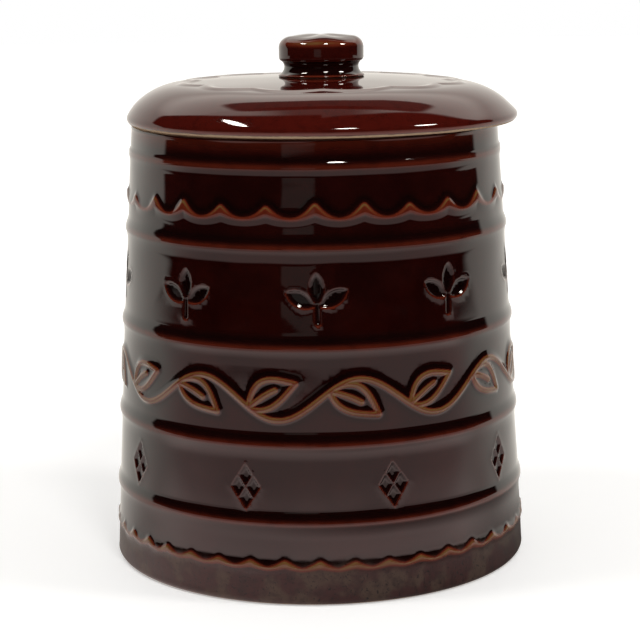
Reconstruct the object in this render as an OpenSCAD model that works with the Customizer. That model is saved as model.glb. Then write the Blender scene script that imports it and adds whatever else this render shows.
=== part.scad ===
// Glazed stoneware biscuit jar with a lift-off lid.
// Origin at the centre of the foot, +Z up, the front towards -Y.

/* [Wall] */
// Diameter of the wall at its widest, just above the foot
foot_d = 186; // [170:1:200]
// Diameter of the wall at the lip
lip_d = 163; // [150:1:176]
// How far the wall swells beyond a straight taper, at mid height
belly = 0.35; // [0:0.05:3]
// Thickness of the wall
wall_t = 5.5; // [4:0.1:8]
// Thickness of the floor above the recess in the foot
floor_t = 6.5; // [4:0.1:12]
// Radius between the wall and the floor inside
inner_fillet = 9; // [3:0.5:20]
// Rounding of the lip's two edges
lip_round = 1.6; // [0.8:0.1:1.9]

/* [Panels] */
// Height of the plain zone between the foot and the lowest ridge
foot_panel_h = 34; // [25:0.5:50]
// Height of the lower motif panel
lower_panel_h = 33; // [22:0.5:50]
// Height of the middle panel
middle_panel_h = 40.5; // [22:0.5:60]
// Height of the upper motif panel
upper_panel_h = 41.2; // [22:0.5:60]
// Height of the wave panel under the top ridge
wave_panel_h = 32.8; // [22:0.5:50]
// Height of the plain neck from the top ridge to the lip
neck_h = 13; // [9:0.5:25]

/* [Ridges] */
// How far a ridge stands proud of the wall
ridge_h = 1.1; // [0.4:0.1:2]
// How far the top ridge stands proud of the wall
top_ridge_h = 0.6; // [0.4:0.1:2]
// Height of a ridge along the wall, between its two fillets' ends
ridge_w = 12; // [7:0.5:16]

/* [Trailed lines] */
// Width of a trailed line
line_w = 3; // [1.6:0.1:5]
// How far a trailed line stands proud of the wall
line_h = 0.8; // [0.4:0.1:2]
// Number of swags in the upper wavy line
upper_swags = 26; // [12:1:40]
// Height of the upper line's hollows above the ridge under it
upper_swag_up = 12.6; // [8:0.1:20]
// Rise of the upper line from its hollows to its points
upper_swag_rise = 5.3; // [2:0.1:8]
// Number of swags in the lower wavy line
lower_swags = 40; // [18:1:60]
// Height of the lower line's hollows above the foot
lower_swag_up = 15.6; // [8:0.1:20]
// Rise of the lower line from its hollows to its points
lower_swag_rise = 4; // [2:0.1:8]

/* [Vine] */
// Number of times that the vine rises and falls
vine_waves = 8; // [5:1:10]
// How far the vine's stem swings up and down
vine_swing = 8.4; // [4:0.1:9]
// How far past the middle of its rise or fall the stem bears a leaf
vine_leaf_from = 5; // [0:0.1:10]
// Length of a leaf of the vine
vine_leaf_l = 22.5; // [14:0.5:26]
// Width of a leaf of the vine
vine_leaf_w = 11; // [6:0.1:14]
// How far a leaf of the vine bends up
vine_leaf_bend = 1.6; // [0:0.1:4]
// Slope of a leaf of the vine, in degrees
vine_leaf_a = 27; // [0:1:45]

/* [Stamps] */
// Depth of a stamp in the wall
stamp_depth = 0.9; // [0.4:0.1:2]
// Number of sprigs
sprigs = 9; // [5:1:12]
// Length of a sprig's leaf
sprig_leaf_l = 12.5; // [8:0.1:16]
// Width of a sprig's leaf
sprig_leaf_w = 5.8; // [3:0.1:8]
// Angle between a sprig's leaves, in degrees
sprig_spread = 61; // [30:1:80]
// Length of a sprig's stalk
sprig_stalk_l = 7; // [3:0.1:10]
// Width of a sprig's stalk
sprig_stalk_w = 1.6; // [0.8:0.1:3]
// Number of lozenge groups
lozenge_groups = 9; // [5:1:14]
// Height of a lozenge
lozenge_h = 8.4; // [4:0.1:9]
// Width of a lozenge
lozenge_w = 5.4; // [3:0.1:8]
// Clay left between the lozenges of a group
lozenge_gap = 1.3; // [0.6:0.1:3]

/* [Foot] */
// Rounding of the wall's lower edge
foot_round = 3; // [1.5:0.5:5]
// Width of the ring that the jar stands on
foot_ring_w = 10; // [6:0.5:20]
// Depth of the recess inside the foot ring
foot_recess = 2.5; // [1:0.1:5]

/* [Lid] */
// Diameter of the lid's rim
lid_d = 173.2; // [168:0.2:190]
// Radius of the lid's rounded rim
rim_round = 2.8; // [2:0.1:4]
// Height of the lid from its seat to the knob's pad
lid_h = 19.7; // [17:0.1:26]
// Radius of the lid's shallow crown
crown_r = 750; // [400:10:2000]
// Radius of the shoulder between the crown and the rim
shoulder_r = 31; // [26:0.5:36]
// Thickness of the lid's plate
lid_t = 6; // [4:0.1:9]
// Radius between the lid's plate and its collar, inside
lid_fillet = 8; // [3:0.5:12]
// How far to the right of centre the lid rests, in its collar's play
lid_shift = 3.4; // [0:0.1:3.8]

/* [Collar] */
// Clearance between the collar and the mouth, all round, with the lid centred
collar_play = 4.2; // [4.2:0.1:8]
// Width of the collar
collar_w = 5; // [3:0.1:8]
// Depth of the collar below the seat
collar_h = 8; // [4:0.5:16]
// Rounding of the collar's lower edges
collar_round = 1.4; // [0.5:0.1:1.5]

/* [Knob] */
// Diameter of the knob's bun
knob_d = 37.6; // [34:0.2:50]
// Height of the knob above its pad
knob_h = 18.7; // [17:0.1:26]
// Radius of the bun's rounded side
bun_round = 6.2; // [4:0.1:7]
// Radius of the bun's shallow crown
knob_crown_r = 120; // [60:5:400]
// Diameter of the stem at its waist
stem_d = 33; // [24:0.2:33]
// Height of the waist above the pad
waist_h = 5.1; // [4:0.1:7]
// Height of the bun's lower edge above the pad
bun_edge_h = 9; // [8:0.1:10]
// Diameter of the knob's foot, and of its pad on the lid
knob_foot_d = 38; // [34:0.2:48]
// Height of the foot's edge
knob_foot_h = 0.9; // [0.5:0.1:2]

/* [Hidden] */
$fn = 180;
glaze = [0.22, 0.08, 0.05];
glaze_amber = [0.38, 0.18, 0.07];

// Wall
foot_r = foot_d / 2;
lip_r = lip_d / 2;
mouth_r = lip_r - wall_t;
foot_ring_out_r = foot_r - foot_round;
foot_ring_in_r = foot_ring_out_r - foot_ring_w;
floor_z = foot_recess + floor_t;
ridge_z = [
    foot_panel_h,
    foot_panel_h + lower_panel_h,
    foot_panel_h + lower_panel_h + middle_panel_h,
    foot_panel_h + lower_panel_h + middle_panel_h + upper_panel_h,
    foot_panel_h + lower_panel_h + middle_panel_h + upper_panel_h + wave_panel_h
];
ridge_heights = [ridge_h, ridge_h, ridge_h, ridge_h, top_ridge_h];
seat_z = ridge_z[4] + neck_h;
lip_z = seat_z - lip_round;

// Ornament
wall_lean = atan((foot_r - lip_r) / (lip_z - foot_round));
trail_depth = wall_t / 2 + line_h;
vine_z = (ridge_z[1] + ridge_z[2]) / 2;
vine_pitch = 2 * PI * wall_r(vine_z) / vine_waves;
sprig_z = (ridge_z[2] + ridge_z[3]) / 2;
lozenge_z = (ridge_z[0] + ridge_z[1]) / 2;

// Lid
rim_r = lid_d / 2;
collar_r = mouth_r - collar_play;
collar_in_r = collar_r - collar_w;
collar_z = seat_z - collar_h;
pad_z = seat_z + lid_h;
knob_foot_r = knob_foot_d / 2;
crown_c = [0, pad_z - sqrt(crown_r * crown_r - knob_foot_r * knob_foot_r)];
rim_c = [rim_r - rim_round, seat_z + rim_round];
shoulder_c = tangent_centre(crown_c, crown_r - shoulder_r, rim_c, shoulder_r - rim_round);
under_r = crown_r - lid_t;
fillet_r = collar_in_r - lid_fillet;
fillet_c = [fillet_r, crown_c[1] + sqrt(pow(under_r - lid_fillet, 2) - fillet_r * fillet_r)];

// Knob
stem_r = stem_d / 2;
bun_r = knob_d / 2 - bun_round;
waist_z = pad_z + waist_h;
bun_edge_z = pad_z + bun_edge_h;
knob_crown_c = [0, pad_z + knob_h - knob_crown_r];
bun_c = [bun_r, knob_crown_c[1] + sqrt(pow(knob_crown_r - bun_round, 2) - bun_r * bun_r)];
bun_edge_a = -asin((bun_c[1] - bun_edge_z) / bun_round);
bun_edge_r = bun_r + bun_round * cos(bun_edge_a);

// Radius of the bare wall's outside at height z
function wall_r(z) =
    let (t = (z - foot_round) / (lip_z - foot_round))
    foot_r + (lip_r - foot_r) * t + belly * 4 * t * (1 - t);

// Points along an arc from angle a to angle b, in n steps
function arc(c, r, a, b, n) = [for (i = [0:n]) c + r * [cos(a + (b - a) * i / n), sin(a + (b - a) * i / n)]];

// Direction from one point to another, in degrees
function heading(from, to) = atan2(to[1] - from[1], to[0] - from[0]);

// Where a point lies ra from a and rb from b, on the left of the way from a to b
function tangent_centre(a, ra, b, rb) =
    let (d = norm(b - a))
    let (u = (b - a) / d)
    let (x = (d * d + ra * ra - rb * rb) / (2 * d))
    a + u * x + [-u[1], u[0]] * sqrt(ra * ra - x * x);

// A ridge's section: a bead that runs into the wall with a fillet above and below
function ridge(z, h) = [
    for (i = [-6:6])
        let (zi = z + i / 6 * ridge_w / 2)
        [wall_r(zi) + h * pow(cos(15 * i), 2), zi]
];

// A waisted stretch of the stem, from the waist out to radius r at height z
function flare(r, z) =
    let (dr = r - stem_r)
    let (dz = z - waist_z)
    let (flare_r = (dr * dr + dz * dz) / (2 * dr))
    arc([stem_r + flare_r, waist_z], flare_r, 180, 180 - asin(dz / flare_r), 6);

function reversed(points) = [for (i = [len(points) - 1:-1:0]) points[i]];

// Outline of a line of width w that runs along points
function stroke(points, w) =
    let (n = len(points) - 1)
    let (side = [
        for (i = [0:n])
            let (t = points[min(i + 1, n)] - points[max(i - 1, 0)])
            [-t[1], t[0]] / norm(t) * w / 2
    ])
    [for (i = [0:n]) points[i] + side[i], for (i = [n:-1:0]) points[i] - side[i]];

// A pointed leaf between two arcs, from the origin along +X
function leaf(l, w) =
    let (r = (l * l + w * w) / (4 * w))
    let (a = asin(l / 2 / r))
    [each arc([l / 2, w / 2 - r], r, 90 + a, 90 - a, 4), each arc([l / 2, r - w / 2], r, a - 90, -a - 90, 4)];

// One swag of a wavy line in 2n steps, as points [angle, height]: a hollow between two points
function swag(count, low_z, rise, n) =
    [for (i = [-n:n]) [i / n * 180 / count, low_z + rise * pow(abs(i / n), 1.9)]];

// Points [angle, height] on the wall of points [along, up] of the vine's panel laid flat
function round_wall(points) = [for (p = points) [p[0] / vine_pitch * 360 / vine_waves, vine_z + p[1]]];

// Where the vine's stem runs in the flat panel, at a share of one wave
function stem_at(t) = [t * vine_pitch, vine_swing * sin(360 * t)];

// Two edges (s = 1, -1) and vein (s = 0) of a leaf of the vine, from its base along a slope
function vine_leaf(base, a, s) = [
    for (i = [0:(s == 0 ? 3 : 5)])
        let (t = i / 5)
        let (x = vine_leaf_l * t)
        let (y = vine_leaf_bend * sin(180 * t) + s * vine_leaf_w / 2 * sin(180 * pow(t, 0.8)))
        base + [x * cos(a) - y * sin(a), x * sin(a) + y * cos(a)]
];

// Lays what is flat against the outside of the wall, at an angle from the front
module on_wall(a, z) {
    rotate([0, 0, a]) translate([0, -wall_r(z), z]) rotate([90 - wall_lean, 0, 0]) children();
}

// A trailed line along points [angle, height], still deeper and higher than it will be
module trail(points) {
    last = points[len(points) - 1];
    a = (points[0][0] + last[0]) / 2;
    z = (points[0][1] + last[1]) / 2;
    on_wall(a, z) translate([0, 0, -trail_depth]) linear_extrude(trail_depth + 4 * line_h)
        polygon(stroke([for (p = points) [wall_r(p[1]) * sin(p[0] - a), p[1] - z]], line_w));
}

module wavy_line(count, low_z, rise, n) {
    for (i = [0:count - 1]) rotate([0, 0, (i + 0.5) * 360 / count]) trail(swag(count, low_z, rise, n));
}

module vine() {
    t = vine_leaf_from / vine_pitch;
    for (i = [0:vine_waves - 1]) rotate([0, 0, i * 360 / vine_waves]) {
        for (k = [0:3]) trail(round_wall([for (j = [-0.2, 0, 1, 2, 3, 3.2]) stem_at((k + j / 3) / 4)]));
        for (s = [-1:1]) {
            trail(round_wall(vine_leaf(stem_at(t), -vine_leaf_a, s)));
            trail(round_wall(vine_leaf(stem_at(t + 0.5), vine_leaf_a, s)));
        }
    }
}

// All the trailed lines, cut to their height above the wall
module trailed_lines() {
    heights = [foot_round, each ridge_z, lip_z];
    intersection() {
        union() {
            wavy_line(lower_swags, lower_swag_up, lower_swag_rise, 2);
            vine();
            wavy_line(upper_swags, ridge_z[3] + upper_swag_up, upper_swag_rise, 3);
        }
        rotate_extrude() polygon([
            [0, foot_round],
            for (z = heights) [wall_r(z) + line_h, z],
            [0, lip_z]
        ]);
    }
}

// Presses an outline into the wall
module stamp(a, z) {
    on_wall(a, z) translate([0, 0, -stamp_depth]) linear_extrude(stamp_depth + ridge_h) children();
}

// Three leaves on a stalk, which runs up into the middle leaf until the leaf is as wide as the stalk
module sprig() {
    for (i = [-1:1]) rotate(90 + i * sprig_spread) translate([sprig_stalk_w, 0])
        polygon(leaf(sprig_leaf_l, sprig_leaf_w));
    stalk_top = 1.5 * sprig_stalk_w;
    translate([-sprig_stalk_w / 2, -sprig_stalk_l]) square([sprig_stalk_w, sprig_stalk_l + stalk_top]);
}

module lozenge_group() {
    dx = (lozenge_w + lozenge_gap) / 2;
    dy = (lozenge_h + lozenge_gap) / 2;
    for (place = [[dx, 0], [-dx, 0], [0, dy], [0, -dy]]) translate(place)
        polygon([[lozenge_w / 2, 0], [0, lozenge_h / 2], [-lozenge_w / 2, 0], [0, -lozenge_h / 2]]);
}

module stamps() {
    for (i = [0:sprigs - 1])
        stamp(i * 360 / sprigs, sprig_z) translate([0, (sprig_stalk_l - sprig_leaf_l) / 2]) sprig();
    for (i = [0:lozenge_groups - 1])
        stamp((i + 0.5) * 360 / lozenge_groups, lozenge_z) lozenge_group();
}

module jar() {
    color(glaze) difference() {
        union() {
            jar_body();
            trailed_lines();
        }
        stamps();
    }
}

module jar_body() {
    rotate_extrude() polygon([
        [foot_ring_in_r, 0],
        each arc([foot_ring_out_r, foot_round], foot_round, -90, 0, 5),
        for (i = [0:4]) each ridge(ridge_z[i], ridge_heights[i]),
        each arc([lip_r - lip_round, lip_z], lip_round, 0, 90, 5),
        each arc([mouth_r + lip_round, lip_z], lip_round, 90, 180, 5),
        for (i = [4:-1:0]) [wall_r(ridge_z[i]) - wall_t, ridge_z[i]],
        each arc(
            [wall_r(floor_z + inner_fillet) - wall_t - inner_fillet, floor_z + inner_fillet],
            inner_fillet, 0, -90, 8
        ),
        [0, floor_z],
        [0, foot_recess],
        [foot_ring_in_r - foot_recess, foot_recess]
    ]);
}

module lid() {
    crown_a = heading(crown_c, shoulder_c);
    rim_a = heading(shoulder_c, rim_c);
    color(glaze) translate([lid_shift, 0, 0]) rotate_extrude() polygon([
        [collar_r, seat_z],
        each arc(rim_c, rim_round, -90, rim_a, 10),
        each arc(shoulder_c, shoulder_r, rim_a, crown_a, 12),
        each arc(crown_c, crown_r, crown_a, heading(crown_c, [knob_foot_r, pad_z]), 6),
        [0, pad_z],
        each arc(crown_c, under_r, 90, heading(crown_c, fillet_c), 6),
        each arc(fillet_c, lid_fillet, heading(crown_c, fillet_c), 0, 8),
        each arc([collar_in_r + collar_round, collar_z + collar_round], collar_round, 180, 270, 5),
        each arc([collar_r - collar_round, collar_z + collar_round], collar_round, -90, 0, 5)
    ]);
}

module knob() {
    top_a = heading(knob_crown_c, bun_c);
    color(glaze_amber) translate([lid_shift, 0, 0]) rotate_extrude() polygon([
        [0, pad_z],
        [knob_foot_r, pad_z],
        each reversed(flare(knob_foot_r, pad_z + knob_foot_h)),
        each flare(bun_edge_r, bun_edge_z),
        each arc(bun_c, bun_round, bun_edge_a, top_a, 12),
        each arc(knob_crown_c, knob_crown_r, top_a, 90, 4)
    ]);
}

jar();
lid();
knob();
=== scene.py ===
from math import atan2, cos, pi, radians, sin, sqrt, tau

import bmesh
import bpy
import numpy as np
from mathutils import Matrix, Vector, noise
from mathutils.kdtree import KDTree


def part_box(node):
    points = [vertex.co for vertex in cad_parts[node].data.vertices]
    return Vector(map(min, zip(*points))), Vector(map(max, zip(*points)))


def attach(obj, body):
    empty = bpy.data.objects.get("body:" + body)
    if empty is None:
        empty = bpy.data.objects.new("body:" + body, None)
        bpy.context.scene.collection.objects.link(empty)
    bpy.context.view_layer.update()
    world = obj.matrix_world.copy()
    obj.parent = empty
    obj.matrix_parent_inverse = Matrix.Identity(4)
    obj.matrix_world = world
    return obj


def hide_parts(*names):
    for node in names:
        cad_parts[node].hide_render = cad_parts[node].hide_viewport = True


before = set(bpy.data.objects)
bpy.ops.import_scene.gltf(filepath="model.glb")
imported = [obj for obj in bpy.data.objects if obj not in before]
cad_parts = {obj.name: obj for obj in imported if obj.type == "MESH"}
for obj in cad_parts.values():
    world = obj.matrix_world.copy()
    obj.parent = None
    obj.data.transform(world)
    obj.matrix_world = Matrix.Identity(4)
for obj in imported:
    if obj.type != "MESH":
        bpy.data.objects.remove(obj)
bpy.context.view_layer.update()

# ---- Jar ----
# The body is one piece of stoneware, turned with five raised ridges and a foot ring. Wavy lines and a
# running vine are trailed on in slip and small stamps pressed in between the ridges, all before glazing.
MM = 0.001
jar_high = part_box("jar")[1]
seat_z = jar_high[2]
FOOT_R = 93 * MM
LIP_R = 81.5 * MM
BELLY = 0.35 * MM
WALL_T = 5.5 * MM
FLOOR_Z = 9 * MM
FLOOR_FILLET = 9 * MM
LIP_ROUND = 1.6 * MM
FOOT_ROUND = 3 * MM
FOOT_RING_W = 10 * MM
FOOT_RECESS = 2.5 * MM
FOOT_EDGE_ROUND = 0.4 * MM
RIDGE_Z = [34 * MM, 67 * MM, 107.5 * MM, 148.7 * MM, 181.5 * MM]
RIDGE_DOWN = 7.5 * MM
# Height of each ridge, how far its crest runs on upwards, and how far it spreads up and down
RIDGE_SHAPES = [(1.1 * MM, 1.0 * MM, 6.2 * MM, RIDGE_DOWN)] * 4 + [(0.6 * MM, 2.2 * MM, 4.0 * MM, 5 * MM)]
LATHE_STEPS = 210
lip_z = seat_z - LIP_ROUND


def wall_radius(z):
    """Radius of the bare wall's outside at height z."""
    t = (z - FOOT_ROUND) / (lip_z - FOOT_ROUND)
    return FOOT_R + (LIP_R - FOOT_R) * t + BELLY * 4 * t * (1 - t)


def ridge_lift(z):
    """How far the ridges raise the wall: a round upper side, and a hollow lower one that starts steep."""
    lift = 0
    for crest, (height, flat, up, down) in zip(RIDGE_Z, RIDGE_SHAPES):
        above = np.cos(np.clip((z - crest - flat) / (up - flat), 0, 1) * pi / 2) ** 2
        below = 1 - np.clip((crest - z) / down, 0, 1)
        lift = lift + height * np.minimum(above, below ** 3)
    return lift


def arc(centre, radius, start, stop, steps):
    """Points of an outline along an arc, from one angle to another in degrees."""
    angles = [radians(start + (stop - start) * i / steps) for i in range(steps + 1)]
    return [(centre[0] + radius * cos(a), centre[1] + radius * sin(a)) for a in angles]


def wall_rows():
    """Heights of the rows of faces up the wall, closer together over the ridges, and closest where the top
    one falls away."""
    rows = [FOOT_ROUND]
    while rows[-1] < lip_z - 2 * MM:
        away = min(abs(rows[-1] + 0.5 * MM - crest) for crest in RIDGE_Z)
        if abs(rows[-1] - RIDGE_Z[-1] - 3 * MM) < 1.2 * MM:
            step = 0.3 * MM
        elif away < 2.5 * MM:
            step = 0.7 * MM
        else:
            step = 1.2 * MM if away < RIDGE_DOWN else 2.2 * MM
        rows.append(rows[-1] + step)
    return rows[1:]


def jar_outline():
    """Half of the jar's section: underside, foot ring, wall, lip, and back down inside to the floor."""
    ring_out = FOOT_R - FOOT_ROUND
    ring_in = ring_out - FOOT_RING_W
    recess_r = ring_in - FOOT_RECESS
    fillet_z = FLOOR_Z + FLOOR_FILLET
    inside = [(wall_radius(z) - WALL_T, z) for z in np.linspace(lip_z - 6 * MM, fillet_z + 8 * MM, 9)]
    return [
        (0, FOOT_RECESS),
        (ring_in * 0.5, FOOT_RECESS),
        (recess_r - 1 * MM, FOOT_RECESS),
        (recess_r, FOOT_RECESS * 0.9),
        (ring_in - FOOT_EDGE_ROUND, FOOT_EDGE_ROUND * 0.75),
        (ring_in + FOOT_EDGE_ROUND, 0),
        *arc((ring_out, FOOT_ROUND), FOOT_ROUND, -90, 0, 6),
        *[(wall_radius(z), z) for z in wall_rows()],
        *arc((LIP_R - LIP_ROUND, lip_z), LIP_ROUND, 0, 90, 5),
        *arc((LIP_R - WALL_T + LIP_ROUND, lip_z), LIP_ROUND, 90, 180, 5),
        *inside,
        *arc((wall_radius(fillet_z) - WALL_T - FLOOR_FILLET, fillet_z), FLOOR_FILLET, 0, -90, 8),
        (40 * MM, FLOOR_Z),
        (0, FLOOR_Z),
    ]


def lathe(outline, centre_x=0.0, steps=LATHE_STEPS):
    """A half section, from the axis round to the axis again, spun into a closed solid."""
    bm = bmesh.new()
    ring = [bm.verts.new((centre_x + r, 0, z)) for r, z in outline]
    edges = [bm.edges.new(pair) for pair in zip(ring, ring[1:])]
    bmesh.ops.spin(bm, geom=ring + edges, cent=(centre_x, 0, 0), axis=(0, 0, 1), angle=tau, steps=steps,
                   use_merge=True)
    bmesh.ops.remove_doubles(bm, verts=bm.verts, dist=1e-6)
    bmesh.ops.recalc_face_normals(bm, faces=bm.faces)
    return bm


def refine(bm, close, margins):
    """Subdivides the faces close to the ornament, once for each margin round it."""
    for margin in margins:
        bm.faces.ensure_lookup_table()
        centres = np.array([f.calc_center_median() for f in bm.faces])
        chosen = [bm.faces[i] for i in np.flatnonzero(close(centres, margin))]
        edges = list(dict.fromkeys(e for f in chosen for e in f.edges))
        bmesh.ops.subdivide_edges(bm, edges=edges, cuts=1, use_grid_fill=True)


def finish_piece(bm, name, material, body, node):
    """Makes the shaped mesh a smooth object that rides on a body and stands for its CAD node."""
    mesh = bpy.data.meshes.new(name)
    bm.to_mesh(mesh)
    bm.free()
    mesh.shade_smooth()
    mesh.materials.append(material)
    piece = bpy.data.objects.new(name, mesh)
    bpy.context.scene.collection.objects.link(piece)
    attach(piece, body)
    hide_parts(node)
    return piece


def mesh_points(mesh):
    """The places of a mesh's vertices, one row each."""
    flat = np.empty(len(mesh.vertices) * 3)
    mesh.vertices.foreach_get("co", flat)
    return flat.reshape(-1, 3)


def paint(mesh, name, values):
    """Stores one number for each vertex, which the material reads."""
    layer = mesh.attributes.new(name, "FLOAT", "POINT")
    layer.data.foreach_set("value", values.astype(np.float32))


def ease(t):
    """Rises from none to one as t does, gently at both ends."""
    t = np.clip(t, 0, 1)
    return t * t * (3 - 2 * t)


def band(values, middle, half_w):
    """One along the middle of a soft band, and next to none at twice its half width."""
    return np.exp(-((values - middle) / half_w) ** 2)


def wander(angle, size, seed):
    """The slow drift of a line drawn by hand, the same at both ends of a full turn."""
    return size * (np.sin(2 * angle + seed) + 0.7 * np.sin(5 * angle + 2.3 * seed)) / 1.7


def uneven(points, scale, amount):
    """How far a hand-made surface lies from true: lumps of a given size and height."""
    return np.array([noise.noise(Vector(p) / scale) for p in points]) * amount


def round_angle(points, centre_x=0.0):
    """Angle round the axis, from the front."""
    return np.arctan2(points[:, 0] - centre_x, -points[:, 1])


# A trailed line stands this high on its crest, and marks nothing that is further away than its reach.
LINE_H = 0.98 * MM
TRAIL_REACH = 7 * MM


class Trail:
    """An edge or the middle of a trailed line on the wall, given by points along it."""

    def __init__(self, angle, z, side=None):
        self.low, self.high, self.side = z.min(), z.max(), side
        self.tree = KDTree(len(angle))
        for i, (a, h) in enumerate(zip(angle, z)):
            r = wall_radius(h)
            self.tree.insert((r * sin(a), -r * cos(a), h), i)
        self.tree.balance()

    def distance(self, points):
        """Distance from the line, negative below it where the line has a side, and height above its
        nearest point."""
        away = np.where(points[:, 2] < self.low, -1.0 if self.side else 1.0, 1.0)
        above = np.zeros(len(points))
        near = (points[:, 2] > self.low - TRAIL_REACH) & (points[:, 2] < self.high + TRAIL_REACH)
        some = points[near]
        angle = round_angle(some)
        r = wall_radius(some[:, 2])
        on_wall = np.stack([r * np.sin(angle), -r * np.cos(angle), some[:, 2]], 1)
        found = [self.tree.find(p) for p in on_wall]
        away[near] = [reach for _, _, reach in found]
        above[near] = some[:, 2] - [place.z for place, _, _ in found]
        if self.side:
            away[near] *= np.where(some[:, 2] > self.side(angle), 1, -1)
        return away, above


class WavyLine:
    """A line with a point between one hollow and the next, on a soft step that rises to its hollows.

    The line's hollows lie at low, and its points stand as high above them as its rise. It falls away to
    the wall over fall_up and fall_down. The step is step_h high at the hollows, with a shallow dip above.
    The glaze is as thin as thinness on the line, and as edge_thinness on its upper edge in the hollows."""

    SAMPLES = 5200
    # How round its points are, where its flank lies between hollow and point, and the share of its height
    # that it keeps in the hollows
    TIP = 0.08
    FLANK = 0.4
    HOLLOW_SHARE = 0.62
    # How far up the soft step fades out, and the dip that lies there
    STEP_UP = 6 * MM
    DIP_HALF_W = 3.2 * MM
    # The thin glaze along its upper edge, and above that pooled glaze darkened by painted shade
    EDGE_UP, EDGE_HALF_W = 0.1 * MM, 0.75 * MM
    POOL_UP, POOL_HALF_W = 2.8 * MM, 1.3 * MM
    # The upper side's soft end is smooth enough with coarse faces
    COARSE_END = 0.7 * MM
    # How the hand that trails it wanders up and down and round the jar, and how its points differ
    WANDER_UP, WANDER_ROUND, WANDER_RISE = 0.3 * MM, 0.012, 0.15

    def __init__(self, low, rise, count, sharpness, step_h, dip, fall_up, fall_down, thinness,
                 edge_thinness):
        self.low, self.rise, self.count = low, rise, count
        self.sharpness, self.step_h, self.dip = sharpness, step_h, dip
        self.fall_up, self.fall_down = fall_up, fall_down
        self.thinness, self.edge_thinness = thinness, edge_thinness
        angle = np.linspace(-pi, pi, self.SAMPLES, endpoint=False)
        self.top = Trail(angle, self.upper_edge(angle), self.upper_edge)
        self.flank = Trail(angle, self.lower_edge(angle), self.lower_edge)

    def hollow(self, angle):
        """Height of the curve that the bottoms of the hollows follow."""
        return self.low + wander(angle, self.WANDER_UP, self.count)

    def upper_edge(self, angle):
        moved = angle + wander(angle, self.WANDER_ROUND, self.count)
        across = np.mod(moved * self.count / tau, 1) * 2 - 1
        from_point = np.hypot(1 - np.abs(across), self.TIP) - self.TIP
        share = (1 - from_point) ** self.sharpness
        rise = self.rise * (1 + self.WANDER_RISE * np.sin(7 * angle + self.count))
        return self.hollow(angle) + rise * share

    def lower_edge(self, angle):
        hollow = self.hollow(angle)
        return hollow + self.FLANK * (self.upper_edge(angle) - hollow)

    def marks(self, points):
        """Height of the line, how thin the glaze lies on it, and its pooled glaze and painted shade above
        it.
        """
        over, under = self.top.distance(points)[0], self.flank.distance(points)[0]
        upper_side = (1 - np.clip(over / self.fall_up, 0, 1)) ** 2
        lower_side = (1 - np.clip(-under / self.fall_down, 0, 1)) ** 2.2
        angle = round_angle(points)
        share = (self.upper_edge(angle) - self.hollow(angle)) / self.rise
        crest = self.HOLLOW_SHARE + (1 - self.HOLLOW_SHARE) * np.minimum(share, 1)
        line = LINE_H * crest * np.minimum(upper_side, lower_side)
        above = points[:, 2] - self.hollow(angle)
        step = self.step_h * (1 - np.clip(above / self.STEP_UP, 0, 1)) ** 1.3
        step -= self.dip * band(above, self.STEP_UP, self.DIP_HALF_W)
        edge_thin = self.edge_thinness + (1 - self.edge_thinness) * share
        edge = edge_thin * band(over, self.EDGE_UP, self.EDGE_HALF_W)
        inside = self.thinness * band(np.maximum(over, 0), 0, MM) * band(np.minimum(under, 0), 0, MM)
        pool_and_shade = band(over, self.POOL_UP, self.POOL_HALF_W)
        return np.maximum(line, step * lower_side), np.maximum(edge, inside), pool_and_shade

    def near(self, points, margin):
        over, under = self.top.distance(points)[0], self.flank.distance(points)[0]
        return (over < self.fall_up - self.COARSE_END + margin) & (under > -self.fall_down - margin)


# The vine's stem rises and falls in the middle panel, with a veined leaf in each of its hollows.
VINE_Z = (RIDGE_Z[1] + RIDGE_Z[2]) / 2
VINE_WAVES = 8
VINE_SWING = 8.4 * MM
VINE_LEAF_FROM = 5 * MM
VINE_VEIN_SHARE = 0.6
VINE_LEAF_L = 22.5 * MM
VINE_LEAF_W = 11 * MM
VINE_LEAF_BEND = 1.6 * MM
VINE_LEAF_SLOPE = radians(27)
vine_pitch = tau * wall_radius(VINE_Z) / VINE_WAVES


def vine_stem(t):
    """Points of the stem after t waves, in the panel laid flat."""
    return np.stack([t * vine_pitch, VINE_SWING * np.sin(tau * t)], -1)


def vine_leaf(base, slope):
    """Both edges and the vein of one leaf, from its base along its slope, in the panel laid flat."""
    strokes = []
    for side, reach in ((1, 1), (-1, 1), (0, VINE_VEIN_SHARE)):
        t = np.linspace(0, reach, 150)
        along = VINE_LEAF_L * t
        up = VINE_LEAF_BEND * np.sin(pi * t) + side * VINE_LEAF_W / 2 * np.sin(pi * t ** 0.8)
        strokes.append(base + np.stack([along * cos(slope) - up * sin(slope),
                                        along * sin(slope) + up * cos(slope)], 1))
    return strokes


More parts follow.
